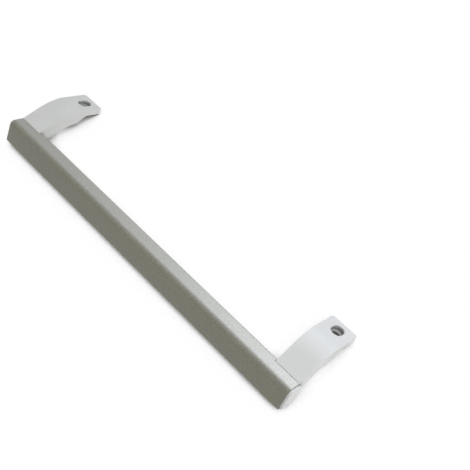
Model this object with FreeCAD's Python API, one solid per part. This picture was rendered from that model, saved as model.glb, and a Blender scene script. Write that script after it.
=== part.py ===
import FreeCAD, Part
import math
import os

# Refrigerator door handle: a hollow aluminium grip bar on two moulded brackets.
# Sizes are in millimetres. X runs along the bar, Y from the bar's front face back to
# the feet, and Z out of the face that the feet rest on. The origin lies midway between
# the two door screws, on that face, so the bar hangs in front of it and below it.

# Places that the door gives
screw_spacing = 320.0
front_reach = 68.2          # from the bar's front face to the line of the door screws
bar_drop = 33.6             # from the feet's resting face down to the bar's underside

# Grip bar: a drawn tube with a flat front, a flat top and round rear corners
bar_height = 21.0
bar_depth = 17.5
bar_wall = 1.5
top_slope = 3.0             # degrees by which the top face rises towards the rear
front_top_radius = 5.5
rear_top_radius = 3.5
rear_bottom_radius = 8.0
front_bottom_radius = 0.8
least_radius = 0.4          # the sharpest inner corner that the section keeps

# Seam between the bar's top face and the brackets
seam_depth = 12.6           # from the bar's front face to the cut edge of its top face
seam_gap = 0.3
fit_clearance = 0.15        # between a plug and the inside of the bar

# Bracket: plug, arm and foot moulded in one
bracket_width = 25.6
root_narrowing = 1.2        # how much narrower the arm starts at the bar
narrowing_length = 30.0
arm_slope = 31.0            # degrees, first stretch of the arm
bend_slope = 10.0           # degrees, where the wide bend meets the foot's bend
bend_radius = 60.0
foot_bend_radius = 20.0
arm_depth = 11.9            # across the arm, from its top to the edge of its skirts
foot_thickness = 5.0
foot_tail = 10.8            # from the door screws to the end of the foot
foot_corner_radius = 2.5
ramp_slope = 40.0           # degrees, end of the skirts
ramp_foot_radius = 3.0
ramp_top_radius = 2.0
top_edge_radius = 0.8
low_edge_radius = 0.4
plug_length = 40.0
plug_proud = 2.2            # how far a plug stands out of the bar's end
plug_edge_radius = 0.5
plug_wall = 2.5

# Hollow underside of the arm
top_plate = 3.0
skirt_wall = 2.5
root_wall = 4.0
rib_thickness = 1.6

# Door screw seat in the foot
screw_hole_radius = 3.6
recess_width = 10.0
recess_length = 12.6
recess_depth = 3.4
recess_chamfer = 0.4

# Countersunk screws that hold the plugs in the bar
fixing_head_radius = 2.75
fixing_shank_radius = 1.45
fixing_length = 9.5
fixing_tip_length = 2.0
fixing_clearance = 0.1
fixing_setback = 6.0        # from the bar's front face to the screws
drive_width = 0.7
drive_length = 3.0
drive_depth = 0.9

# Worked out from the sizes above
bar_length = screw_spacing + bracket_width
bar_end = bar_length / 2
bar_front = -front_reach
bar_rear = bar_front + bar_depth
bar_bottom = -bar_drop
seam_edge = bar_front + seam_depth
lip_edge = seam_edge + seam_gap
foot_end = foot_tail
root_width = bracket_width - root_narrowing
fixing_y = bar_front + fixing_setback
over = 1.0                  # how far a cutting solid runs past what it cuts
touching = 0.000001         # points closer than this are the same point
steep = 0.5                 # a face whose normal rises more than this counts as lying
level = 0.01                # and one whose normal rises less than this as upright


def slope_tan(degrees):
    """Rise of a line for each millimetre along it, level to slope"""
    return math.tan(math.radians(degrees))


def crossing(first, first_slope, second, second_slope):
    """Point where two sloping lines of a side view meet"""
    rise_1, rise_2 = slope_tan(first_slope), slope_tan(second_slope)
    y = (second[1] - first[1] + rise_1 * first[0] - rise_2 * second[0]) / (rise_1 - rise_2)
    return (y, first[1] + rise_1 * (y - first[0]))


def straight(start, end):
    """Straight edge between two points, or none where one arc runs into the next"""
    if start.distanceToPoint(end) < touching:
        return []
    return [Part.LineSegment(start, end).toShape()]


def rounded_wire(corners, radii):
    """Closed wire through the corners, each rounded by a tangent arc of its radius"""
    edges = []
    last_end = None
    first_start = None
    for index, (corner, radius) in enumerate(zip(corners, radii)):
        to_last = (corners[index - 1] - corner).normalize()
        to_next = (corners[(index + 1) % len(corners)] - corner).normalize()
        half_angle = to_last.getAngle(to_next) / 2
        run_in = radius / math.tan(half_angle)
        start, end = corner + to_last * run_in, corner + to_next * run_in
        if last_end is not None:
            edges += straight(last_end, start)
        if radius > 0:
            middle_line = (to_last + to_next).normalize()
            middle = corner + middle_line * (radius / math.sin(half_angle) - radius)
            edges.append(Part.Arc(start, middle, end).toShape())
        first_start = first_start or start
        last_end = end
    edges += straight(last_end, first_start)
    return Part.Wire(edges)


def side_prism(outline, x_low, x_high):
    """Solid with a side-view outline of (y, z, radius) corners, between two x values"""
    corners = [FreeCAD.Vector(x_low, y, z) for y, z, radius in outline]
    wire = rounded_wire(corners, [radius for y, z, radius in outline])
    return Part.Face(wire).extrude(FreeCAD.Vector(x_high - x_low, 0, 0))


def plan_prism(outline, z_low, z_high):
    """Solid with a plan-view outline of (x, y, radius) corners, between two z values"""
    corners = [FreeCAD.Vector(x, y, z_low) for x, y, radius in outline]
    wire = rounded_wire(corners, [radius for x, y, radius in outline])
    return Part.Face(wire).extrude(FreeCAD.Vector(0, 0, z_high - z_low))


def block(x_low, x_high, y_low, y_high, z_low, z_high):
    """Rectangular solid between two corners"""
    corner = FreeCAD.Vector(x_low, y_low, z_low)
    return Part.makeBox(x_high - x_low, y_high - y_low, z_high - z_low, corner)


def bar_top(y, inset=0.0):
    """Height of the bar's top face at y, drawn in by an inset"""
    rise = (y - bar_front) * slope_tan(top_slope)
    return bar_bottom + bar_height + rise - inset / math.cos(math.radians(top_slope))


def bar_section(inset):
    """Outline of the bar's section, drawn in on every side by a wall or clearance"""
    front, rear, bottom = bar_front + inset, bar_rear - inset, bar_bottom + inset

    def inner(radius):
        """Corner radius after the inset, kept above the least"""
        return max(radius - inset, least_radius)

    return [(front, bottom, inner(front_bottom_radius)),
            (rear, bottom, inner(rear_bottom_radius)),
            (rear, bar_top(rear, inset), inner(rear_top_radius)),
            (front, bar_top(front, inset), inner(front_top_radius))]


def arm_line(depth):
    """Arm's long line at a depth below its top, from the root to the level foot.

    It gives the root point and the two bends, as (y, z, radius) corners.
    """
    slope = math.radians(arm_slope)
    root = (lip_edge + depth * math.sin(slope), bar_top(lip_edge) - depth * math.cos(slope))
    level = (foot_end, foot_thickness - depth)
    wide_run = (bend_radius - depth) * slope_tan((arm_slope - bend_slope) / 2)
    foot_run = (foot_bend_radius - depth) * slope_tan(bend_slope / 2)
    link = wide_run + foot_run
    shift = link * math.sin(math.radians(bend_slope))
    wide = crossing(root, arm_slope, (level[0], level[1] - shift), 0.0)
    foot = (wide[0] + link * math.cos(math.radians(bend_slope)), level[1])
    return [(root[0], root[1], 0.0),
            (wide[0], wide[1], bend_radius - depth),
            (foot[0], foot[1], foot_bend_radius - depth)]


def skirt_end():
    """Point where the skirts' lower edge turns up into the ramp"""
    foot_bend = arm_line(arm_depth)[2]
    run = foot_bend[2] * slope_tan(bend_slope / 2) + ramp_foot_radius * slope_tan(ramp_slope / 2)
    return (foot_bend[0] + run, foot_bend[1])


def neck_floor():
    """Lowest height of the arm where it passes out through the bar's rear wall"""
    root = arm_line(arm_depth)[0]
    return root[1] - (root[0] - (bar_rear - bar_wall)) * slope_tan(arm_slope)


def ramp_crest():
    """Point where the ramp at the skirts' end meets the foot's underside"""
    return crossing(skirt_end(), ramp_slope, (foot_end, 0.0), 0.0)


def arm_outline():
    """Side view of the arm and the foot, without the plug"""
    top = arm_line(0.0)
    bottom = arm_line(arm_depth)
    end = skirt_end()
    ramp_top = ramp_crest()
    low_root = (bar_rear - bar_wall, neck_floor(), 0.0)
    return (top
            + [(foot_end, foot_thickness, 0.0), (foot_end, 0.0, 0.0)]
            + [(ramp_top[0], ramp_top[1], ramp_top_radius), (end[0], end[1], ramp_foot_radius)]
            + [bottom[2], bottom[1], low_root, (lip_edge, neck_floor(), 0.0)])


def arm_plan(outer, inner):
    """Plan view of the arm and the foot, between its outer and inner sides"""
    return [(outer, lip_edge, 0.0),
            (outer, foot_end, foot_corner_radius),
            (inner, foot_end, foot_corner_radius),
            (inner, lip_edge + narrowing_length, 0.0),
            (inner + root_narrowing, lip_edge, 0.0)]


def face_lift(face):
    """Upward part of a face's outward normal, at its middle"""
    u_low, u_high, v_low, v_high = face.ParameterRange
    return face.normalAt((u_low + u_high) / 2, (v_low + v_high) / 2).z


def side_rim(arm, facing):
    """Edges of the arm's upright sides that border its top (facing 1) or underside (-1)"""
    lying = [face for face in arm.Faces if face_lift(face) * facing > steep]
    upright = [face for face in arm.Faces if abs(face_lift(face)) < level]
    return [edge for face in lying for edge in face.Edges
            if any(edge.isSame(other) for side in upright for other in side.Edges)]


def pocket_outline():
    """Side view of the hollow under the arm, from its top plate to below the skirts"""
    top = arm_line(top_plate)
    front = bar_rear + root_wall
    front_top = top[0][1] + (front - top[0][0]) * slope_tan(arm_slope)
    rear = ramp_crest()[0] - skirt_wall
    return [(front, bar_bottom, 0.0), (front, front_top, 0.0), top[1], top[2],
            (rear, foot_thickness - top_plate, 0.0), (rear, bar_bottom, 0.0)]


def arm_pocket(outer, inner):
    """Hollow under the arm, split by one rib along it and one across it"""
    outline = pocket_outline()
    front, rear = outline[0][0], outline[4][0]
    pocket = side_prism(outline, inner + root_narrowing + skirt_wall, outer - skirt_wall)
    middle_x = (outer + inner) / 2
    middle_y = (front + rear) / 2
    half = rib_thickness / 2
    for rib in (block(middle_x - half, middle_x + half, front, rear, bar_bottom, foot_thickness),
                block(inner, outer, middle_y - half, middle_y + half, bar_bottom, foot_thickness)):
        pocket = pocket.cut(rib)
    return pocket


def door_screw_seat(x):
    """Screw hole through a foot, with the long recess that its head sinks into"""
    hole = Part.makeCylinder(screw_hole_radius, foot_thickness + 2 * over,
                             FreeCAD.Vector(x, 0, -over))
    half_width, half_length = recess_width / 2, recess_length / 2

    def slot(grow, low, high):
        """Long recess with round ends, grown by a rim, between two heights"""
        reach = half_width + grow
        length = half_length + grow
        corners = [(x - reach, -length), (x + reach, -length),
                   (x + reach, length), (x - reach, length)]
        return plan_prism([(corner_x, corner_y, reach) for corner_x, corner_y in corners],
                          low, high)

    recess = slot(0.0, foot_thickness - recess_depth, foot_thickness + over)
    rim = slot(recess_chamfer, foot_thickness - recess_chamfer, foot_thickness + over)
    return hole.fuse(recess).fuse(rim)


def fixing_solid(x, grow):
    """Countersunk screw under the bar at x, or its hole when grown by a clearance"""
    head = fixing_head_radius + grow
    shank = fixing_shank_radius + grow
    cone_height = fixing_head_radius - fixing_shank_radius
    tip_start = fixing_length - fixing_tip_length
    foot = FreeCAD.Vector(x, fixing_y, bar_bottom)
    cone = Part.makeCone(head, shank, cone_height, foot)
    body = Part.makeCylinder(shank, tip_start, foot)
    tip = Part.makeCone(shank, grow, fixing_tip_length + grow,
                        foot + FreeCAD.Vector(0, 0, tip_start))
    return cone.fuse(body).fuse(tip).removeSplitter()


def make_fixing_screw(x):
    """Countersunk screw with a cross drive in its head"""
    screw = fixing_solid(x, 0.0)
    for length_x, length_y in ((drive_length, drive_width), (drive_width, drive_length)):
        screw = screw.cut(block(x - length_x / 2, x + length_x / 2,
                                fixing_y - length_y / 2, fixing_y + length_y / 2,
                                bar_bottom - over, bar_bottom + drive_depth))
    return screw


def make_bar():
    """Drawn tube with its rear corner cut away at both ends for the arms"""
    bar = side_prism(bar_section(0.0), -bar_end, bar_end)
    bar = bar.cut(side_prism(bar_section(bar_wall), -bar_end - over, bar_end + over))
    notch_length = root_width + seam_gap
    notch_floor = neck_floor() - seam_gap
    for side in (-1, 1):
        ends = sorted((side * (bar_end - notch_length), side * (bar_end + over)))
        bar = bar.cut(block(ends[0], ends[1], seam_edge, bar_rear + over,
                            notch_floor, bar_top(bar_rear) + over))
        bar = bar.cut(fixing_solid(side * screw_spacing / 2, fixing_clearance))
    return bar


def make_plug():
    """Plug of the right bracket, which fills the bar's end and stands a little proud"""
    inset = bar_wall + fit_clearance
    outer_face = bar_end + plug_proud
    plug = side_prism(bar_section(inset), bar_end - plug_length, outer_face)
    rim = [edge for edge in plug.Edges if edge.BoundBox.XMin > outer_face - fit_clearance]
    plug = plug.makeFillet(plug_edge_radius, rim)
    core = side_prism(bar_section(inset + plug_wall), bar_end - plug_length - over,
                      bar_end - bracket_width - plug_wall)
    return plug.cut(core)


def make_right_bracket():
    """Plug, arm and foot of the bracket at the bar's right end"""
    outer, inner = bar_end, bar_end - bracket_width
    arm = side_prism(arm_outline(), inner, outer)
    arm = arm.common(plan_prism(arm_plan(outer, inner), bar_bottom, foot_thickness + over))
    arm = arm.makeFillet(top_edge_radius, side_rim(arm, 1))
    arm = arm.makeFillet(low_edge_radius, side_rim(arm, -1))
    arm = arm.cut(arm_pocket(outer, inner))
    arm = arm.cut(door_screw_seat(screw_spacing / 2))
    bracket = arm.fuse(make_plug()).removeSplitter()
    return bracket.cut(fixing_solid(screw_spacing / 2, fixing_clearance))


def mirrored(shape):
    """The same shape at the other end of the bar"""
    return shape.mirror(FreeCAD.Vector(0, 0, 0), FreeCAD.Vector(1, 0, 0))


def only_solid(shape):
    """The one solid of a shape, without the compound around it"""
    if len(shape.Solids) != 1:
        raise ValueError("expected one solid, found %d" % len(shape.Solids))
    return shape.Solids[0]


def main():
    """Build every piece and write it to the parts folder"""
    right_bracket = make_right_bracket()
    right_screw = make_fixing_screw(screw_spacing / 2)
    pieces = {
        "grip_bar": make_bar(),
        "bracket_right": right_bracket,
        "bracket_left": mirrored(right_bracket),
        "fixing_screw_right": right_screw,
        "fixing_screw_left": mirrored(right_screw),
    }
    os.makedirs("parts", exist_ok=True)
    for name, shape in pieces.items():
        solid = only_solid(shape)
        solid.exportStep("parts/" + name + ".step")
        box = solid.BoundBox
        print("%-20s valid %s volume %.1f box %.2f %.2f %.2f to %.2f %.2f %.2f"
              % (name, solid.isValid(), solid.Volume,
                 box.XMin, box.YMin, box.ZMin, box.XMax, box.YMax, box.ZMax))


main()
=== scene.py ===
import logging
import math
from dataclasses import dataclass, field
from enum import Enum
from typing import ClassVar

import bmesh
import bpy
from mathutils import Matrix, Vector


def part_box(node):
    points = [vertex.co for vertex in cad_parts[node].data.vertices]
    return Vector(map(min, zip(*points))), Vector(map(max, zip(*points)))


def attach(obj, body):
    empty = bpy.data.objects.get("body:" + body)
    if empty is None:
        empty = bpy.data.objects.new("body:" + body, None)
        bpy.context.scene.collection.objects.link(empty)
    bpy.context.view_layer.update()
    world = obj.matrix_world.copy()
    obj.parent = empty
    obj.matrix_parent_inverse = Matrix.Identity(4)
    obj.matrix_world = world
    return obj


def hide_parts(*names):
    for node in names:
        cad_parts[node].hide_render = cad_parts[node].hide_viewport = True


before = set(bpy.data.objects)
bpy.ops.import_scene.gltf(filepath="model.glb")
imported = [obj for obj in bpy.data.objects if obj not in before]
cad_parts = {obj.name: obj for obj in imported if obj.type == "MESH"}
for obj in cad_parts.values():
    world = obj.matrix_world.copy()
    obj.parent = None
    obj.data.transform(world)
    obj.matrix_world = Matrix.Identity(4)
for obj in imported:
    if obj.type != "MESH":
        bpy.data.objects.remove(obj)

# A refrigerator door handle: a satin aluminium bar between two moulded brackets.
# Sizes of the handle are in millimetres and turn into metres as each mesh is made.
# X runs along the bar, Y from its front face back to the feet, Z out of the door.

MM = 0.001
ARC_STEPS = 10              # straight steps in each rounded corner of an outline
SHARP_ANGLE = math.radians(35.0)
LARGE_FACE_LEAD = 100       # how far large faces steer the shading: 50 is neutral
PLACE_DIGITS = 5            # decimals of a millimetre that tell two places apart
NOISE_MIDDLE = (0.3, 0.7)   # where most of a noise's values lie
COARSE_LAYERS = 2.0         # layers of a plain noise
FINE_LAYERS = 3.0           # layers of a noise with finer detail
MIX_FIRST, MIX_SECOND, MIX_RESULT = 6, 7, 2     # colour sockets of a mixing node

Point2 = tuple[float, float]
Point3 = tuple[float, float, float]
Colour = tuple[float, float, float]
Socket = bpy.types.NodeSocket

log = logging.getLogger("door_handle")


class Side(Enum):
    """The two ends of the handle, by the sign of X."""

    RIGHT = 1
    LEFT = -1

    @property
    def word(self) -> str:
        """The end's name as the pieces spell it."""
        return self.name.lower()


@dataclass(frozen=True)
class Corner:
    """A corner of an outline, with the radius that rounds it."""

    across: float
    up: float
    radius: float = 0.0


def slope_tan(degrees: float) -> float:
    """Rise of a line for each millimetre along it."""
    return math.tan(math.radians(degrees))


def rounded_corner(before: Vector, corner: Vector, after: Vector,
                   radius: float) -> list[Point2]:
    """Points that round one corner of an outline.

    Args:
        before: The corner before it.
        corner: The corner itself.
        after: The corner after it.
        radius: Radius of the rounding, or 0 for a plain corner.

    Returns:
        The arc's points, or the corner alone.
    """
    if radius <= 0.0:
        return [(corner.x, corner.y)]
    to_before = (before - corner).normalized()
    to_after = (after - corner).normalized()
    half_angle = to_before.angle(to_after) / 2
    centre = corner + (to_before + to_after).normalized() * (radius / math.sin(half_angle))
    start = corner + to_before * (radius / math.tan(half_angle)) - centre
    end = corner + to_after * (radius / math.tan(half_angle)) - centre
    turn = math.atan2(start.x * end.y - start.y * end.x, start.dot(end))
    points = []
    for step in range(ARC_STEPS + 1):
        angle = turn * step / ARC_STEPS
        points.append((centre.x + start.x * math.cos(angle) - start.y * math.sin(angle),
                       centre.y + start.x * math.sin(angle) + start.y * math.cos(angle)))
    return points


def rounded(corners: list[Corner], closed: bool) -> list[Point2]:
    """Points of an outline, or of an open line, with its corners rounded.

    Args:
        corners: Its corners, in order; the ends of an open line stay plain.
        closed: Whether the last corner leads back to the first.

    Returns:
        The points, in order.
    """
    places = [Vector((corner.across, corner.up)) for corner in corners]
    points = []
    for index, corner in enumerate(corners):
        plain = not closed and index in (0, len(corners) - 1)
        points += rounded_corner(places[index - 1], places[index],
                                 places[(index + 1) % len(places)],
                                 0.0 if plain else corner.radius)
    return points


def height_at(line: list[Point2], across: float) -> float:
    """Height of an open line at a distance across, between its points.

    Args:
        line: Points that run the way the distance grows.
        across: The distance to read the height at.

    Returns:
        The height there.
    """
    for (left, left_up), (right, right_up) in zip(line, line[1:]):
        if across <= right:
            share = 0.0 if right == left else (across - left) / (right - left)
            return left_up + share * (right_up - left_up)
    return line[-1][1]


class EdgeWeight:
    """Rule that says how strongly each sharp edge is rounded."""

    def __call__(self, middle: Vector) -> float:
        """Weight of an edge from its middle point; every edge counts fully here."""
        return 1.0


class MeshDraft:
    """A mesh under construction, in millimetres, that shares points by their place."""

    def __init__(self) -> None:
        """Start with nothing in the mesh."""
        self.mesh = bmesh.new()
        self.known: dict[Point3, bmesh.types.BMVert] = {}
        self.weight = self.mesh.edges.layers.float.new("bevel_weight_edge")

    def point(self, place: Point3) -> bmesh.types.BMVert:
        """The mesh's point at a place, made on first use.

        Args:
            place: The point's x, y and z.

        Returns:
            The point.
        """
        key = tuple(round(value, PLACE_DIGITS) for value in place)
        if key not in self.known:
            self.known[key] = self.mesh.verts.new(key)
        return self.known[key]

    def face(self, places: list[Point3]) -> None:
        """Add a face through some places, unless it has shrunk to a line.

        Args:
            places: The face's corners, in order.
        """
        corners: list[bmesh.types.BMVert] = []
        for place in places:
            corner = self.point(place)
            if corner not in corners:
                corners.append(corner)
        if len(corners) > 2:
            self.mesh.faces.new(corners)

    def stack(self, rows: list[list[Point3]]) -> None:
        """Add a closed solid through rows of points that each run round it.

        Args:
            rows: The rows, from one end to the other, of the same length.
        """
        for lower, upper in zip(rows, rows[1:]):
            for index in range(len(lower)):
                after = (index + 1) % len(lower)
                self.face([lower[index], lower[after], upper[after], upper[index]])
        self.face(rows[0])
        self.face(rows[-1])

    def weigh_edges(self, weight_of: EdgeWeight) -> None:
        """Give each sharp edge the bevel weight that a rule says.

        Args:
            weight_of: Rule from an edge's middle to its weight.
        """
        self.mesh.normal_update()
        for edge in self.mesh.edges:
            if len(edge.link_faces) == 2 and edge.calc_face_angle() > SHARP_ANGLE:
                edge[self.weight] = weight_of((edge.verts[0].co + edge.verts[1].co) / 2)

    def finish(self, name: str, mirror: bool = False) -> bpy.types.Object:
        """Turn the draft into an object, in metres.

        Args:
            name: Name of the object.
            mirror: Whether to mirror the mesh across the handle's middle.

        Returns:
            The new object, linked to the scene.
        """
        if mirror:
            bmesh.ops.scale(self.mesh, vec=(-1.0, 1.0, 1.0), verts=self.mesh.verts)
        bmesh.ops.recalc_face_normals(self.mesh, faces=self.mesh.faces)
        bmesh.ops.scale(self.mesh, vec=(MM, MM, MM), verts=self.mesh.verts)
        data = bpy.data.meshes.new(name)
        self.mesh.to_mesh(data)
        self.mesh.free()
        made = bpy.data.objects.new(name, data)
        bpy.context.scene.collection.objects.link(made)
        return made


def bake(piece: bpy.types.Object) -> None:
    """Apply a piece's modifiers to its mesh.

    Args:
        piece: The piece to settle.
    """
    graph = bpy.context.evaluated_depsgraph_get()
    baked = bpy.data.meshes.new_from_object(piece.evaluated_get(graph))
    piece.modifiers.clear()
    old = piece.data
    piece.data = baked
    baked.name = piece.name
    bpy.data.meshes.remove(old)


def round_edges(piece: bpy.types.Object, width: float, steps: int) -> None:
    """Round a piece's weighted edges.

    Args:
        piece: The piece to round.
        width: Width of the rounding at full weight, in millimetres.
        steps: Straight steps across it.
    """
    bevel = piece.modifiers.new("edge rounding", "BEVEL")
    bevel.limit_method = "WEIGHT"
    bevel.width = width * MM
    bevel.segments = steps
    bevel.use_clamp_overlap = True
    bevel.miter_outer = "MITER_ARC"
    bake(piece)


def combine(piece: bpy.types.Object, tool: bpy.types.Object, how: str) -> None:
    """Join a tool's solid to a piece, or cut it out of the piece.

    Args:
        piece: The piece that stays.
        tool: The solid to use up.
        how: UNION or DIFFERENCE.
    """
    boolean = piece.modifiers.new("solid", "BOOLEAN")
    boolean.operation = how
    boolean.solver = "EXACT"
    boolean.object = tool
    bake(piece)
    used = tool.data
    bpy.data.objects.remove(tool)
    bpy.data.meshes.remove(used)


def smooth(piece: bpy.types.Object) -> None:
    """Shade a piece smoothly, with its sharp edges and flat faces kept crisp.

    Args:
        piece: The piece to shade.
    """
    piece.data.shade_smooth()
    piece.data.set_sharp_from_angle(angle=SHARP_ANGLE)
    weighted = piece.modifiers.new("even shading", "WEIGHTED_NORMAL")
    weighted.keep_sharp = True
    weighted.weight = LARGE_FACE_LEAD
    bake(piece)


def lathe(name: str, centre: Point2, rings: list[Point2], steps: int) -> bpy.types.Object:
    """A closed round solid about an upright axis.

    Args:
        name: Name of the object.
        centre: The axis's x and y.
        rings: Radius and height of each ring, from bottom to top.
        steps: Straight steps round it.

    Returns:
        The solid.
    """
    draft = MeshDraft()
    turns = [math.tau * step / steps for step in range(steps)]
    rows = [[(centre[0] + radius * math.cos(turn), centre[1] + radius * math.sin(turn), height)
             for turn in turns] for radius, height in rings]
    draft.stack(rows)
    return draft.finish(name)


class NodeSheet:
    """Shader nodes of a material or of the world, with short calls for the ones used here."""

    def __init__(self, owner: bpy.types.Material | bpy.types.World) -> None:
        """Clear the owner's nodes.

        Args:
            owner: The material or the world.
        """
        owner.use_nodes = True
        self.owner = owner
        self.tree = owner.node_tree
        self.tree.nodes.clear()

    def node(self, kind: str, **settings: object) -> bpy.types.Node:
        """Add a node.

        Args:
            kind: The node's type.
            settings: Attributes to set on it.

        Returns:
            The node.
        """
        made = self.tree.nodes.new(kind)
        for key, value in settings.items():
            setattr(made, key, value)
        return made

    def link(self, source: Socket, target: Socket) -> None:
        """Connect two sockets."""
        self.tree.links.new(source, target)

    def places(self, stretch: Point3) -> Socket:
        """Places on the object.

        Args:
            stretch: Factors for x, y and z, for each metre.

        Returns:
            The socket that gives them.
        """
        coordinates = self.node("ShaderNodeTexCoord")
        mapping = self.node("ShaderNodeMapping")
        mapping.inputs["Scale"].default_value = stretch
        self.link(coordinates.outputs["Object"], mapping.inputs["Vector"])
        return mapping.outputs["Vector"]

    def noise(self, stretch: Point3, layers: float) -> Socket:
        """Noise over the object, from 0 to 1.

        Args:
            stretch: How many grains a metre holds along x, y and z.
            layers: Number of finer layers.

        Returns:
            The socket that gives it.
        """
        noise = self.node("ShaderNodeTexNoise")
        noise.inputs["Scale"].default_value = 1.0
        noise.inputs["Detail"].default_value = layers
        self.link(self.places(stretch), noise.inputs["Vector"])
        return noise.outputs["Fac"]

    def ranged(self, source: Socket, old: Point2, new: Point2) -> Socket:
        """Map a value from one range onto another, and hold it there.

        Args:
            source: The value.
            old: Ends of the range that it has.
            new: Ends of the range that it gets.

        Returns:
            The socket that gives the new value.
        """
        mapped = self.node("ShaderNodeMapRange")
        for name, value in zip(("From Min", "From Max", "To Min", "To Max"), (*old, *new)):
            mapped.inputs[name].default_value = value
        self.link(source, mapped.inputs["Value"])
        return mapped.outputs["Result"]

    def blend(self, amount: Socket, first: Colour, second: Colour | Socket) -> Socket:
        """Blend two colours by an amount.

        Args:
            amount: From 0, all first, to 1, all second.
            first: One colour.
            second: The other, or the socket that gives it.

        Returns:
            The socket that gives the colour.
        """
        mixed = self.node("ShaderNodeMix", data_type="RGBA")
        mixed.inputs[MIX_FIRST].default_value = (*first, 1.0)
        if isinstance(second, Socket):
            self.link(second, mixed.inputs[MIX_SECOND])
        else:
            mixed.inputs[MIX_SECOND].default_value = (*second, 1.0)
        self.link(amount, mixed.inputs[0])
        return mixed.outputs[MIX_RESULT]

    def openness(self, reach: float, samples: int, own_walls: bool) -> Socket:
        """How open the surface lies, from 0 in a deep corner to 1 on an open face.

        Args:
            reach: How far off a wall still counts, in millimetres.
            samples: How many directions are looked in.
            own_walls: Whether only the piece's own walls count.

        Returns:
            The socket that gives it.
        """
        view = self.node("ShaderNodeAmbientOcclusion", samples=samples, only_local=own_walls)
        view.inputs["Distance"].default_value = reach * MM
        return view.outputs["AO"]

    def bump(self, height: Socket, depth: float, under: Socket | None = None) -> Socket:
        """Relief from a height.

        Args:
            height: The height, from 0 to 1.
            depth: How deep it is, in millimetres.
            under: A relief that lies beneath this one.

        Returns:
            The socket that gives the normal.
        """
        relief = self.node("ShaderNodeBump")
        relief.inputs["Strength"].default_value = 1.0
        relief.inputs["Distance"].default_value = depth * MM
        self.link(height, relief.inputs["Height"])
        if under is not None:
            self.link(under, relief.inputs["Normal"])
        return relief.outputs["Normal"]

    def mix(self, amount: Socket, first: bpy.types.Node, second: bpy.types.Node) -> bpy.types.Node:
        """Mix two shaders.

        Args:
            amount: From 0, all first, to 1, all second.
            first: One shader.
            second: The other.

        Returns:
            The mixing node.
        """
        mixed = self.node("ShaderNodeMixShader")
        for target, source in enumerate((amount, first.outputs[0], second.outputs[0])):
            self.link(source, mixed.inputs[target])
        return mixed

    def shown_directly(self) -> Socket:
        """Whether a surface is looked at or only takes part in the light that bounces.

        Returns:
            The socket that gives 1 where the camera, a reflection or glass looks, and else 0.
        """
        path = self.node("ShaderNodeLightPath")
        either = path.outputs["Is Camera Ray"]
        for ray in ("Is Glossy Ray", "Is Transmission Ray"):
            more = self.node("ShaderNodeMath", operation="MAXIMUM")
            self.link(either, more.inputs[0])
            self.link(path.outputs[ray], more.inputs[1])
            either = more.outputs[0]
        return either


@dataclass(frozen=True)
class Finish:
    """What every finish has: a name, two tones, a range of roughness and how metallic it is."""

    name: str
    light_tone: Colour
    dark_tone: Colour
    roughness: Point2
    metallic: float

    def start(self) -> tuple[NodeSheet, bpy.types.Node]:
        """Begin the material.

        Returns:
            The sheet of its nodes and the shader that it ends in.
        """
        sheet = NodeSheet(bpy.data.materials.new(self.name))
        shader = sheet.node("ShaderNodeBsdfPrincipled")
        shader.inputs["Metallic"].default_value = self.metallic
        output = sheet.node("ShaderNodeOutputMaterial")
        sheet.link(shader.outputs["BSDF"], output.inputs["Surface"])
        return sheet, shader

    def tone(self, sheet: NodeSheet, noise: Socket) -> Socket:
        """The colour, which varies between the two tones.

        Args:
            sheet: The sheet of the material's nodes.
            noise: The noise that it varies with.

        Returns:
            The socket that gives it.
        """
        return sheet.blend(sheet.ranged(noise, NOISE_MIDDLE, (0.0, 1.0)), self.dark_tone,
                           self.light_tone)


@dataclass(frozen=True)
class AnodisedAluminium(Finish):
    """Drawn aluminium with a satin anodised skin: faint die lines and a speckled etch."""

    name: str = "satin_anodised_aluminium"
    light_tone: Colour = (0.118, 0.111, 0.058)
    dark_tone: Colour = (0.053, 0.05, 0.026)
    roughness: Point2 = (0.54, 0.62)
    metallic: float = 0.4
    skin_index: float = 2.0
    skin_roughness: float = 0.6
    line_stretch: Point3 = (4.0, 1400.0, 1400.0)
    etch_stretch: Point3 = (750.0, 750.0, 750.0)
    line_depth: float = 0.006
    etch_depth: float = 0.02

    def build(self) -> bpy.types.Material:
        """Make the material.

        Returns:
            The material.
        """
        sheet, shader = self.start()
        lines = sheet.noise(self.line_stretch, FINE_LAYERS)
        etch = sheet.noise(self.etch_stretch, COARSE_LAYERS)
        sheet.link(self.tone(sheet, etch), shader.inputs["Base Color"])
        sheet.link(sheet.ranged(lines, NOISE_MIDDLE, self.roughness), shader.inputs["Roughness"])
        shader.inputs["Coat Weight"].default_value = 1.0
        shader.inputs["Coat IOR"].default_value = self.skin_index
        shader.inputs["Coat Roughness"].default_value = self.skin_roughness
        relief = sheet.bump(lines, self.line_depth)
        sheet.link(sheet.bump(etch, self.etch_depth, relief), shader.inputs["Normal"])
        return sheet.owner


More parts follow.
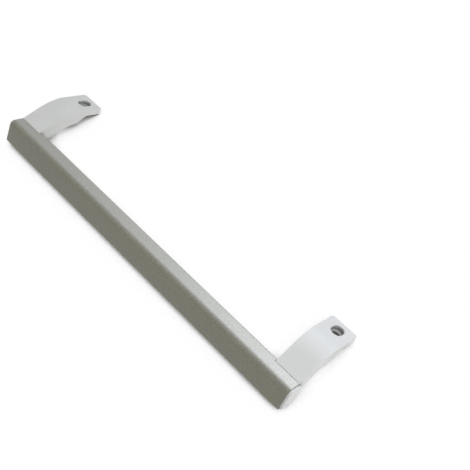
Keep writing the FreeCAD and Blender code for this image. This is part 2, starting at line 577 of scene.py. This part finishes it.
@dataclass(frozen=True)
class MouldedPlastic(Finish):
    """Pale silver-grey moulded plastic with a fine texture, and painted shade deep in its recesses.
    """

    name: str = "silver_grey_plastic"
    light_tone: Colour = (0.565, 0.573, 0.563)
    dark_tone: Colour = (0.53, 0.538, 0.528)
    roughness: Point2 = (0.5, 0.6)
    metallic: float = 0.0
    grain_stretch: Point3 = (1500.0, 1500.0, 1500.0)
    flow_stretch: Point3 = (45.0, 30.0, 45.0)
    grain_depth: float = 0.02
    # Painted shade deep in the recesses: its colour, how far walls count, the openness at which it
    # is full, and the samples.
    recess_painted_shade: Colour = (0.07, 0.07, 0.06)
    recess_shade_reach: float = 6.0
    recess_shade_closed: float = 0.35
    recess_shade_samples: int = 8

    def build(self) -> bpy.types.Material:
        """Make the material.

        Returns:
            The material.
        """
        sheet, shader = self.start()
        grain = sheet.noise(self.grain_stretch, COARSE_LAYERS)
        tone = self.tone(sheet, sheet.noise(self.flow_stretch, FINE_LAYERS))
        # Painted shade: the colour darkens towards a near-black tone where the piece's own walls
        # close the surface in, as in the screw recesses.
        view = sheet.openness(self.recess_shade_reach, self.recess_shade_samples, own_walls=True)
        openness = sheet.ranged(view, (self.recess_shade_closed, 1.0), (0.0, 1.0))
        sheet.link(sheet.blend(openness, self.recess_painted_shade, tone), shader.inputs["Base Color"])
        sheet.link(sheet.ranged(grain, NOISE_MIDDLE, self.roughness), shader.inputs["Roughness"])
        sheet.link(sheet.bump(grain, self.grain_depth), shader.inputs["Normal"])
        return sheet.owner


@dataclass(frozen=True)
class ZincPlate(Finish):
    """Bright zinc plating on a steel screw."""

    name: str = "zinc_plated_steel"
    light_tone: Colour = (0.66, 0.66, 0.64)
    dark_tone: Colour = (0.52, 0.53, 0.53)
    roughness: Point2 = (0.22, 0.4)
    metallic: float = 1.0
    cloud_stretch: Point3 = (900.0, 900.0, 900.0)
    cloud_depth: float = 0.004

    def build(self) -> bpy.types.Material:
        """Make the material.

        Returns:
            The material.
        """
        sheet, shader = self.start()
        cloud = sheet.noise(self.cloud_stretch, FINE_LAYERS)
        sheet.link(self.tone(sheet, cloud), shader.inputs["Base Color"])
        sheet.link(sheet.ranged(cloud, NOISE_MIDDLE, self.roughness), shader.inputs["Roughness"])
        sheet.link(sheet.bump(cloud, self.cloud_depth), shader.inputs["Normal"])
        return sheet.owner


@dataclass(frozen=True)
class HandleSizes:
    """Driving sizes of the handle that more than one piece is made from."""

    bar_end: float
    bar_front: float
    bar_bottom: float
    bar_height: float = 21.0
    bar_depth: float = 17.5
    bar_wall: float = 1.5
    top_slope: float = 3.0
    front_top_radius: float = 5.5
    rear_top_radius: float = 3.5
    rear_bottom_radius: float = 8.0
    front_bottom_radius: float = 0.8
    least_radius: float = 0.4
    seam_depth: float = 12.6
    seam_gap: float = 0.3
    fit_clearance: float = 0.15
    arm_width: float = 25.6
    root_narrowing: float = 1.2
    arm_slope: float = 31.0
    arm_depth: float = 11.9
    screw_from_end: float = 12.8
    screw_from_front: float = 6.0
    foot_end: float = 10.8

    @classmethod
    def from_frame(cls) -> "HandleSizes":
        """Read the bar's place and length from the frame."""
        low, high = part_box("grip_bar")
        return cls(bar_end=high.x / MM, bar_front=low.y / MM, bar_bottom=low.z / MM)

    @property
    def bar_rear(self) -> float:
        """Y of the bar's rear face."""
        return self.bar_front + self.bar_depth

    @property
    def seam_edge(self) -> float:
        """Y of the cut edge of the bar's top face."""
        return self.bar_front + self.seam_depth

    @property
    def lip_edge(self) -> float:
        """Y of the bracket's edge across the seam."""
        return self.seam_edge + self.seam_gap

    def screw_place(self, side: Side) -> Point3:
        """Middle of the face of the fixing screw at one end."""
        return (side.value * (self.bar_end - self.screw_from_end),
                self.bar_front + self.screw_from_front, self.bar_bottom)

    def bar_top(self, across: float, inset: float = 0.0) -> float:
        """Height of the bar's top face.

        Args:
            across: Y of the place.
            inset: How far below the face, square to it.

        Returns:
            The height there.
        """
        rise = (across - self.bar_front) * slope_tan(self.top_slope)
        return (self.bar_bottom + self.bar_height + rise
                - inset / math.cos(math.radians(self.top_slope)))

    def neck_floor(self) -> float:
        """Lowest place of an arm where it passes out of the bar.

        Returns:
            The height there.
        """
        slope = math.radians(self.arm_slope)
        root_across = self.lip_edge + self.arm_depth * math.sin(slope)
        root_up = self.bar_top(self.lip_edge) - self.arm_depth * math.cos(slope)
        return root_up - (root_across - (self.bar_rear - self.bar_wall)) * math.tan(slope)

    def section(self, inset: float, marks: bool = False) -> list[Corner]:
        """Outline of the bar's section, drawn in by a wall or a clearance.

        Args:
            inset: How far it is drawn in.
            marks: Whether it also has a corner at each edge of the notch.

        Returns:
            The corners, from the front bottom round by the rear.
        """
        front, rear = self.bar_front + inset, self.bar_rear - inset
        bottom = self.bar_bottom + inset
        radii = [max(radius - inset, self.least_radius) for radius in
                 (self.front_bottom_radius, self.rear_bottom_radius,
                  self.rear_top_radius, self.front_top_radius)]
        corners = [Corner(front, bottom, radii[0]), Corner(rear, bottom, radii[1])]
        if marks:
            corners.append(Corner(rear, self.neck_floor() - self.seam_gap))
        corners.append(Corner(rear, self.bar_top(rear, inset), radii[2]))
        if marks:
            corners.append(Corner(self.seam_edge, self.bar_top(self.seam_edge, inset)))
        corners.append(Corner(front, self.bar_top(front, inset), radii[3]))
        return corners


@dataclass
class HandlePart:
    """A sub-assembly that is shown in place of one solid of the frame."""

    sizes: HandleSizes
    node: ClassVar[str]
    slot: ClassVar[str]
    piece: bpy.types.Object | None = field(default=None, init=False)

    def dress(self, finish: bpy.types.Material) -> None:
        """Give the piece its finish and its place in the frame.

        Args:
            finish: The material.
        """
        self.piece.data.materials.clear()
        self.piece.data.materials.append(finish)
        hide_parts(self.node)
        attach(self.piece, "root")


@dataclass
class GripBar(HandlePart):
    """The drawn aluminium tube, notched at both ends for the arms."""

    node: ClassVar[str] = "grip_bar"
    slot: ClassVar[str] = "bar_aluminium"
    edge_width: float = 0.25
    edge_steps: int = 2
    hole_head: float = 2.85
    hole_shank: float = 1.55
    hole_steps: int = 48
    over: float = 1.0

    @property
    def notch_marks(self) -> tuple[int, int]:
        """Which of a section's points lie on the notch's rear and top edges."""
        arc = ARC_STEPS + 1
        return 2 * arc, 2 * arc + 1 + arc

    def build_tube(self) -> bpy.types.Object:
        """Make the notched tube.

        Returns:
            The tube, without its screw holes.
        """
        sizes = self.sizes
        outer = rounded(sizes.section(0.0, marks=True), closed=True)
        inner = rounded(sizes.section(sizes.bar_wall, marks=True), closed=True)
        rear, top = self.notch_marks
        notch = sizes.bar_end - (sizes.arm_width - sizes.root_narrowing + sizes.seam_gap)
        stations = [-sizes.bar_end, -notch, notch, sizes.bar_end]
        count = len(outer)
        draft = MeshDraft()

        def at(loop: list[Point2], index: int, x: float) -> Point3:
            """A section's point at a place along the bar."""
            return (x, *loop[index % count])

        for left, right in zip(stations, stations[1:]):
            notched = left < -notch or right > notch
            for index in range(count):
                if notched and rear <= index < top:
                    continue
                for loop in (outer, inner):
                    draft.face([at(loop, index, left), at(loop, index, right),
                                at(loop, index + 1, right), at(loop, index + 1, left)])
            if notched:
                for index in (rear, top):
                    draft.face([at(outer, index, left), at(outer, index, right),
                                at(inner, index, right), at(inner, index, left)])
        for x in stations:
            at_end = abs(x) > notch
            for index in range(count):
                if at_end != (rear <= index < top):
                    draft.face([at(outer, index, x), at(outer, index + 1, x),
                                at(inner, index + 1, x), at(inner, index, x)])
        draft.weigh_edges(EdgeWeight())
        tube = draft.finish(self.node + "_shown")
        round_edges(tube, self.edge_width, self.edge_steps)
        return tube

    def build(self) -> None:
        """Make the bar and cut its countersunk screw holes."""
        self.piece = self.build_tube()
        slant = self.hole_head - self.hole_shank
        for side in Side:
            x, y, bottom = self.sizes.screw_place(side)
            hole = lathe("screw_hole", (x, y),
                         [(self.hole_head, bottom - self.over), (self.hole_head, bottom),
                          (self.hole_shank, bottom + slant),
                          (self.hole_shank, bottom + slant + self.over)], self.hole_steps)
            combine(self.piece, hole, "DIFFERENCE")
        smooth(self.piece)


@dataclass
class Bracket(HandlePart):
    """A moulded bracket: the plug in the bar's end, the curved arm and the foot."""

    slot: ClassVar[str] = "bracket_plastic"
    side: Side
    narrowing_length: float = 30.0
    bend_slope: float = 10.0
    bend_radius: float = 60.0
    foot_bend_radius: float = 20.0
    foot_thickness: float = 5.0
    foot_corner_radius: float = 2.5
    ramp_slope: float = 40.0
    ramp_foot_radius: float = 3.0
    ramp_top_radius: float = 2.0
    rim_radius: float = 0.8
    low_share: float = 0.5
    rim_steps: int = 4
    row_step: float = 1.2
    top_plate: float = 3.0
    skirt_wall: float = 2.5
    root_wall: float = 4.0
    rib_thickness: float = 1.6
    plug_length: float = 40.0
    plug_proud: float = 2.2
    plug_edge: float = 0.5
    plug_wall: float = 2.5
    hole_radius: float = 3.6
    recess_width: float = 10.0
    recess_length: float = 12.6
    recess_depth: float = 3.4
    recess_chamfer: float = 0.4
    seat_steps: int = 64
    fixing_shank: float = 1.55
    fixing_depth: float = 9.6
    over: float = 1.0

    @property
    def node(self) -> str:
        """Name of the bracket's solid in the frame."""
        return "bracket_" + self.side.word

    @property
    def outer(self) -> float:
        """X of the arm's outer side."""
        return self.sizes.bar_end

    @property
    def inner(self) -> float:
        """X of the arm's inner side, past its narrower root."""
        return self.sizes.bar_end - self.sizes.arm_width

    def bends(self, depth: float) -> list[Corner]:
        """Root and bends of the arm's line at a depth below its top.

        Args:
            depth: How far the line lies below the top, square to it.

        Returns:
            The root, the wide bend and the foot's bend.
        """
        slope = math.radians(self.sizes.arm_slope)
        bend = math.radians(self.bend_slope)
        lip = self.sizes.lip_edge
        root = (lip + depth * math.sin(slope), self.sizes.bar_top(lip) - depth * math.cos(slope))
        level = self.foot_thickness - depth
        link = ((self.bend_radius - depth) * math.tan((slope - bend) / 2)
                + (self.foot_bend_radius - depth) * math.tan(bend / 2))
        wide_up = level - link * math.sin(bend)
        wide = root[0] + (wide_up - root[1]) / math.tan(slope)
        return [Corner(*root),
                Corner(wide, wide_up, self.bend_radius - depth),
                Corner(wide + link * math.cos(bend), level, self.foot_bend_radius - depth)]

    def ramp(self) -> tuple[Corner, Corner]:
        """The ramp that ends the skirts.

        Returns:
            Its foot and its top.
        """
        bend = self.bends(self.sizes.arm_depth)[2]
        run = (bend.radius * slope_tan(self.bend_slope / 2)
               + self.ramp_foot_radius * slope_tan(self.ramp_slope / 2))
        foot = Corner(bend.across + run, bend.up, self.ramp_foot_radius)
        top = Corner(foot.across - foot.up / slope_tan(self.ramp_slope), 0.0, self.ramp_top_radius)
        return foot, top

    def side_lines(self) -> tuple[list[Point2], list[Point2], list[Point2]]:
        """Side views of the arm.

        Returns:
            The arm's top, its lower edge and the hollow's ceiling.
        """
        sizes = self.sizes
        neck = Corner(sizes.bar_rear - sizes.bar_wall, sizes.neck_floor())
        top = self.bends(0.0) + [Corner(sizes.foot_end, self.foot_thickness)]
        low = ([Corner(sizes.lip_edge, neck.up), neck] + self.bends(sizes.arm_depth)[1:]
               + list(self.ramp()) + [Corner(sizes.foot_end, 0.0)])
        ceiling = (self.bends(self.top_plate)
                   + [Corner(sizes.foot_end, self.foot_thickness - self.top_plate)])
        return rounded(top, False), rounded(low, False), rounded(ceiling, False)

    def rows(self, lines: tuple[list[Point2], ...], breaks: list[float]) -> list[float]:
        """Places along the arm where the mesh has a row of points.

        Args:
            lines: Side views whose points need a row.
            breaks: Further places that need a row of their own.

        Returns:
            Y of each row, in order.
        """
        corner_start = self.sizes.foot_end - self.foot_corner_radius
        turns = [corner_start + self.foot_corner_radius * math.sin(math.pi / 2 * step / ARC_STEPS)
                 for step in range(ARC_STEPS + 1)]
        wanted = sorted(y for line in lines for y, _ in line
                        if self.sizes.lip_edge < y < corner_start)
        rows = breaks + turns
        for y in wanted:
            if all(abs(y - known) > self.row_step for known in rows):
                rows.append(y)
        return sorted(rows)

    def columns(self, y: float) -> list[float]:
        """X of the mesh's columns in a row.

        Args:
            y: The row's place.

        Returns:
            X of the inner side, the hollow's walls, the rib's sides and the outer side.
        """
        narrowing = self.sizes.root_narrowing
        near_root = max(0.0, 1.0 - (y - self.sizes.lip_edge) / self.narrowing_length)
        inner = self.inner + narrowing * near_root
        middle = (self.inner + self.outer) / 2
        half_rib = self.rib_thickness / 2
        places = [inner, self.inner + narrowing + self.skirt_wall, middle - half_rib,
                  middle + half_rib, self.outer - self.skirt_wall, self.outer]
        past = y - (self.sizes.foot_end - self.foot_corner_radius)
        if past > 0:
            radius = self.foot_corner_radius
            drawn_in = radius - math.sqrt(max(0.0, radius ** 2 - past ** 2))
            half = (self.outer - self.inner) / 2
            places = [middle + (x - middle) * (half - drawn_in) / half for x in places]
        return places

    def build_arm(self) -> bpy.types.Object:
        """Make the arm and foot, with the ribbed hollow on its underside.

        Returns:
            The arm, without its screw seat.
        """
        sizes = self.sizes
        top, low, ceiling = self.side_lines()
        hollow_front = sizes.bar_rear + self.root_wall
        hollow_rear = self.ramp()[1].across - self.skirt_wall
        rib_middle = (hollow_front + hollow_rear) / 2
        rib = (rib_middle - self.rib_thickness / 2, rib_middle + self.rib_thickness / 2)
        rows = self.rows((top, low), [sizes.lip_edge, sizes.bar_rear - sizes.bar_wall,
                                      hollow_front, *rib, hollow_rear])
        draft = MeshDraft()

        def is_hollow(column: int, row: int) -> bool:
            """Whether the underside of a patch is the hollow's ceiling."""
            middle = (rows[row] + rows[row + 1]) / 2
            return (column in (1, 3) and hollow_front < middle < hollow_rear
                    and not rib[0] < middle < rib[1])

        def below(column: int, row: int, hollow: bool) -> Point3:
            """The underside's point where a column meets a row."""
            y = rows[row]
            return (self.columns(y)[column], y, height_at(ceiling if hollow else low, y))

        def above(column: int, row: int) -> Point3:
            """The top's point where a column meets a row."""
            y = rows[row]
            return (self.columns(y)[column], y, height_at(top, y))

        last_column, last_row = len(self.columns(sizes.lip_edge)) - 1, len(rows) - 1
        for row in range(last_row):
            for column in range(last_column):
                hollow = is_hollow(column, row)
                draft.face([above(column, row), above(column + 1, row),
                            above(column + 1, row + 1), above(column, row + 1)])
                draft.face([below(column, row, hollow), below(column + 1, row, hollow),
                            below(column + 1, row + 1, hollow), below(column, row + 1, hollow)])
                if column > 0 and hollow != is_hollow(column - 1, row):
                    draft.face([below(column, row, True), below(column, row + 1, True),
                                below(column, row + 1, False), below(column, row, False)])
                if row > 0 and hollow != is_hollow(column, row - 1):
                    draft.face([below(column, row, True), below(column + 1, row, True),
                                below(column + 1, row, False), below(column, row, False)])
            for column in (0, last_column):
                draft.face([above(column, row), above(column, row + 1),
                            below(column, row + 1, False), below(column, row, False)])
        for row in (0, last_row):
            for column in range(last_column):
                draft.face([above(column, row), above(column + 1, row),
                            below(column + 1, row, False), below(column, row, False)])
        draft.weigh_edges(ArmEdges(top, self.low_share))
        arm = draft.finish(self.node + "_shown", mirror=self.side is Side.LEFT)
        round_edges(arm, self.rim_radius, self.rim_steps)
        return arm

    def build_plug(self) -> bpy.types.Object:
        """Make the plug, cored out at its inner end.

        Returns:
            The plug.
        """
        sizes = self.sizes
        inset = sizes.bar_wall + sizes.fit_clearance
        skin = rounded(sizes.section(inset), closed=True)
        core = rounded(sizes.section(inset + self.plug_wall), closed=True)
        start = sizes.bar_end - self.plug_length
        core_end = self.inner - self.plug_wall
        end = sizes.bar_end + self.plug_proud
        rows = [[(x, *point) for point in loop] for x, loop in
                ((core_end, core), (start, core), (start, skin), (end, skin))]
        draft = MeshDraft()
        draft.stack(rows)
        draft.weigh_edges(EdgeWeight())
        plug = draft.finish("plug_" + self.side.word, mirror=self.side is Side.LEFT)
        round_edges(plug, self.plug_edge, self.rim_steps)
        return plug

    def build_seat(self) -> bpy.types.Object:
        """Make the solid that cuts the screw hole and its long recess.

        Returns:
            The cutting solid.
        """
        middle = self.sizes.screw_place(self.side)[0]
        half_width, half_length = self.recess_width / 2, self.recess_length / 2
        draft = MeshDraft()

        def ring(width: float, length: float, height: float) -> list[Point3]:
            """Outline of a slot with round ends, or of a circle.

            Args:
                width: Half of the slot's width, or the circle's radius.
                length: Half of its length, or the radius again.
                height: Where it lies.

            Returns:
                The outline's points.
            """
            points = []
            for step in range(self.seat_steps):
                turn = math.tau * (step + 1 / 2) / self.seat_steps
                shift = math.copysign(length - width, math.sin(turn))
                points.append((middle + width * math.cos(turn),
                               shift + width * math.sin(turn), height))
            return points

        top = self.foot_thickness
        grown = self.recess_chamfer + self.over
        floor = top - self.recess_depth
        rows = [ring(self.hole_radius, self.hole_radius, -self.over),
                ring(self.hole_radius, self.hole_radius, floor),
                ring(half_width, half_length, floor),
                ring(half_width, half_length, top - self.recess_chamfer),
                ring(half_width + grown, half_length + grown, top + self.over)]
        draft.stack(rows)
        return draft.finish("screw_seat")

    def build(self) -> None:
        """Join the arm and the plug, and cut the holes."""
        self.piece = self.build_arm()
        combine(self.piece, self.build_plug(), "UNION")
        combine(self.piece, self.build_seat(), "DIFFERENCE")
        x, y, bottom = self.sizes.screw_place(self.side)
        hole = lathe("screw_hole", (x, y),
                     [(self.fixing_shank, bottom), (self.fixing_shank, bottom + self.fixing_depth)],
                     self.seat_steps)
        combine(self.piece, hole, "DIFFERENCE")
        smooth(self.piece)


@dataclass
class ArmEdges(EdgeWeight):
    """Rule that rounds an arm's top rim fully and its other edges less."""

    top: list[Point2]
    low_share: float
    reach: float = 0.02

    def __call__(self, middle: Vector) -> float:
        """Full weight on the top line, and the low share elsewhere."""
        on_top = abs(middle.z - height_at(self.top, middle.y)) < self.reach
        return 1.0 if on_top else self.low_share


@dataclass
class FixingScrew(HandlePart):
    """A countersunk tapping screw that holds a plug in the bar."""

    slot: ClassVar[str] = "screw_steel"
    side: Side
    head_radius: float = 2.75
    crest_radius: float = 1.45
    core_radius: float = 1.1
    length: float = 9.5
    tip_length: float = 2.0
    pitch: float = 1.1
    turn_steps: int = 40
    rise_steps: int = 96
    drive_width: float = 0.7
    drive_length: float = 3.0
    drive_depth: float = 0.9
    drive_taper: float = 0.7
    ridge_share: float = 0.5
    over: float = 0.5

    @property
    def node(self) -> str:
        """Name of the screw's solid in the frame."""
        return "fixing_screw_" + self.side.word

    def radius_at(self, height: float, turn: float) -> float:
        """Radius of the threaded shank.

        Args:
            height: Height above the head's face.
            turn: Angle round the screw.

        Returns:
            The radius there.
        """
        slant = self.head_radius - self.crest_radius
        if height < slant:
            return self.head_radius - height
        wave = (height / self.pitch - turn / math.tau) % 1.0
        ridge = max(0.0, 1.0 - abs(2 * wave - 1.0) / self.ridge_share)
        taper = min(1.0, (self.length - height) / self.tip_length)
        lead = min(1.0, (height - slant) / self.pitch)
        smooth_core = self.crest_radius + (self.core_radius - self.crest_radius) * lead
        return max(0.0, taper) * (smooth_core + (self.crest_radius - smooth_core) * ridge)

    def build(self) -> None:
        """Make the head, the threaded shank and the cross drive."""
        x, y, bottom = self.sizes.screw_place(self.side)
        slant = self.head_radius - self.crest_radius
        heights = [0.0] + [slant + (self.length - slant) * step / self.rise_steps
                           for step in range(self.rise_steps + 1)]
        turns = [math.tau * step / self.turn_steps for step in range(self.turn_steps)]
        draft = MeshDraft()
        rows = []
        for height in heights:
            rows.append([(x + self.radius_at(height, turn) * math.cos(turn),
                          y + self.radius_at(height, turn) * math.sin(turn), bottom + height)
                         for turn in turns])
        draft.stack(rows)
        self.piece = draft.finish(self.node + "_shown")
        for length, width in ((self.drive_length, self.drive_width),
                              (self.drive_width, self.drive_length)):
            combine(self.piece, self.build_drive(length / 2, width / 2), "DIFFERENCE")
        smooth(self.piece)

    def build_drive(self, half_length: float, half_width: float) -> bpy.types.Object:
        """Make the solid that cuts one slot of the cross drive.

        Args:
            half_length: Half of the slot's size along X.
            half_width: Half of its size along Y.

        Returns:
            The cutting solid, narrower at its bottom.
        """
        x, y, bottom = self.sizes.screw_place(self.side)
        draft = MeshDraft()
        rows = []
        for share, height in ((1.0, -self.over), (1.0, 0.0), (self.drive_taper, self.drive_depth)):
            rows.append([(x + sign_x * half_length * share,
                          y + sign_y * half_width * share, bottom + height)
                         for sign_x, sign_y in ((-1, -1), (1, -1), (1, 1), (-1, 1))])
        draft.stack(rows)
        return draft.finish("drive_slot")


@dataclass(frozen=True)
class Viewpoint:
    """The camera, where the photograph was taken from."""

    place: Point3 = (285.5, -453.5, 347.9)
    right: Point3 = (0.68537, 0.63408, 0.35807)
    down: Point3 = (0.61368, -0.23825, -0.75275)
    focal_pixels: float = 746.34
    picture_width: float = 470.0
    sensor: float = 36.0

    def build(self) -> bpy.types.Object:
        """Make the camera and set it as the scene's own.

        Returns:
            The camera.
        """
        data = bpy.data.cameras.new("viewpoint")
        data.sensor_width = self.sensor
        data.lens = self.sensor * self.focal_pixels / self.picture_width
        camera = bpy.data.objects.new("viewpoint", data)
        right = Vector(self.right).normalized()
        up = -Vector(self.down).normalized()
        back = right.cross(up)
        turn = Matrix((right, up, back)).transposed().to_4x4()
        camera.matrix_world = Matrix.Translation(Vector(self.place) * MM) @ turn
        bpy.context.scene.collection.objects.link(camera)
        bpy.context.scene.camera = camera
        return camera


class LampUse(Enum):
    """What a soft lamp is for: even light, or the sheen on smooth surfaces."""

    FILL = "fill"
    SHINE = "shine"


@dataclass(frozen=True)
class SoftLamp:
    """A soft rectangular lamp that faces a point of the handle."""

    name: str
    use: LampUse
    place: Point3
    aim: Point3
    width: float
    height: float
    radiance: float
    colour: Colour = (1.0, 1.0, 1.0)

    def build(self) -> bpy.types.Object:
        """Make the lamp, in metres.

        Returns:
            The lamp.
        """
        data = bpy.data.lights.new(self.name, "AREA")
        data.shape = "RECTANGLE"
        data.size = self.width
        data.size_y = self.height
        data.energy = self.radiance * math.pi * self.width * self.height
        data.color = self.colour
        lamp = bpy.data.objects.new(self.name, data)
        lamp.location = self.place
        lamp.rotation_mode = "QUATERNION"
        aim = Vector(self.aim) - Vector(self.place)
        lamp.rotation_quaternion = aim.to_track_quat("-Z", "Y")
        lamp.visible_camera = False
        lamp.visible_diffuse = self.use is LampUse.FILL
        lamp.visible_glossy = self.use is LampUse.SHINE
        bpy.context.scene.collection.objects.link(lamp)
        return lamp


@dataclass(frozen=True)
class Studio:
    """The white table, the even surroundings and the lamps."""

    sizes: HandleSizes
    table_reach: float = 8.0
    table_gap: float = 0.0002
    table_white: Colour = (0.97, 0.97, 0.97)
    # Painted shade on the table in tight places under the handle: its colour and the openness over
    # which it fades out.
    tight_painted_shade: Colour = (0.2, 0.2, 0.18)
    tight_shade_range: Point2 = (0.25, 0.5)
    shade_range: Point2 = (0.4, 0.85)
    shade_reach: float = 18.0
    shade_samples: int = 6
    surround_level: float = 0.6
    lamps: tuple[SoftLamp, ...] = (
        SoftLamp("front_softbox", LampUse.FILL, (0.35, -0.75, 0.85), (0.0, -0.03, 0.0),
                 1.2, 0.9, 1.7),
        SoftLamp("side_softbox", LampUse.FILL, (1.9, -0.4, 0.8), (0.0, -0.03, 0.0),
                 1.0, 1.0, 3.6),
        SoftLamp("near_card", LampUse.SHINE, (0.2, 0.4, 0.75), (0.2, 0.0, 0.0),
                 0.7, 0.8, 10.7, (0.82, 0.87, 1.0)),
        SoftLamp("far_card", LampUse.SHINE, (-0.85, 0.65, 0.9), (-0.85, 0.0, 0.0),
                 1.0, 0.9, 1.1, (0.78, 0.85, 1.0)),
    )

    def table_tilt(self) -> float:
        """Slope of the table that the bar's rounded lower rear and the feet's ends lie on.

        Returns:
            The angle, about X.
        """
        radius = self.sizes.rear_bottom_radius
        across = self.sizes.foot_end - (self.sizes.bar_rear - radius)
        down = -(self.sizes.bar_bottom + radius)
        return math.atan2(down, across) + math.asin(radius / math.hypot(across, down))

    def build_table(self) -> bpy.types.Object:
        """Make the table's top, which the handle lies on as it does in the photograph.

        It glows white where it lies open, takes a soft shadow close to the handle, has painted
        shade in tight places such as the screw holes, and can't be seen from below.

        Returns:
            The table.
        """
        reach = self.table_reach
        data = bpy.data.meshes.new("table")
        data.from_pydata([(-reach, -reach, 0.0), (reach, -reach, 0.0),
                          (reach, reach, 0.0), (-reach, reach, 0.0)], [], [(0, 1, 2, 3)])
        table = bpy.data.objects.new("table", data)
        tilt = Matrix.Rotation(self.table_tilt(), 4, "X")
        feet = Vector((0.0, self.sizes.foot_end * MM, 0.0))
        table.matrix_world = (Matrix.Translation(feet) @ tilt
                              @ Matrix.Translation((0.0, 0.0, -self.table_gap)))
        bpy.context.scene.collection.objects.link(table)
        sheet = NodeSheet(bpy.data.materials.new("white_table"))
        openness = sheet.openness(self.shade_reach, self.shade_samples, own_walls=False)
        glow_share = sheet.node("ShaderNodeMath", operation="MULTIPLY")
        sheet.link(sheet.ranged(openness, self.shade_range, (0.0, 1.0)), glow_share.inputs[0])
        sheet.link(sheet.shown_directly(), glow_share.inputs[1])
        paint = sheet.node("ShaderNodeBsdfDiffuse")
        # Painted shade: the paint turns dark where the handle closes the table in, under the feet
        # and in the screw holes.
        unshaded_share = sheet.ranged(openness, self.tight_shade_range, (0.0, 1.0))
        sheet.link(sheet.blend(unshaded_share, self.tight_painted_shade, self.table_white), paint.inputs["Color"])
        lit = sheet.mix(glow_share.outputs[0], paint, sheet.node("ShaderNodeEmission"))
        facing = sheet.node("ShaderNodeNewGeometry")
        clear = sheet.node("ShaderNodeBsdfTransparent")
        top_only = sheet.mix(facing.outputs["Backfacing"], lit, clear)
        output = sheet.node("ShaderNodeOutputMaterial")
        sheet.link(top_only.outputs[0], output.inputs["Surface"])
        data.materials.append(sheet.owner)
        return table

    def build_surroundings(self) -> bpy.types.World:
        """Make the surroundings: white to look at, and less strong as light.

        Returns:
            The world.
        """
        sheet = NodeSheet(bpy.data.worlds.new("surroundings"))
        background = sheet.node("ShaderNodeBackground")
        background.inputs["Color"].default_value = (1.0, 1.0, 1.0, 1.0)
        strength = sheet.ranged(sheet.shown_directly(), (0.0, 1.0), (self.surround_level, 1.0))
        sheet.link(strength, background.inputs["Strength"])
        output = sheet.node("ShaderNodeOutputWorld")
        sheet.link(background.outputs[0], output.inputs["Surface"])
        bpy.context.scene.world = sheet.owner
        return sheet.owner

    def build(self) -> None:
        """Set up the table, the surroundings and the lamps."""
        self.build_table()
        self.build_surroundings()
        for lamp in self.lamps:
            lamp.build()
        bpy.context.scene.view_settings.view_transform = "Standard"


def main() -> None:
    """Build the handle and its studio, and log each piece's face count."""
    logging.basicConfig(level=logging.INFO, format="%(name)s: %(message)s")
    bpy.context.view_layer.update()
    Viewpoint().build()
    aluminium, plastic, zinc = (finish.build() for finish in
                                (AnodisedAluminium(), MouldedPlastic(), ZincPlate()))
    sizes = HandleSizes.from_frame()
    parts = [(GripBar(sizes), aluminium)]
    parts += [(Bracket(sizes, side), plastic) for side in Side]
    parts += [(FixingScrew(sizes, side), zinc) for side in Side]
    for part, finish in parts:
        part.build()
        part.dress(finish)
        log.info("%s has %d faces", part.piece.name, len(part.piece.data.polygons))
    Studio(sizes).build()


if __name__ == "__main__":
    main()
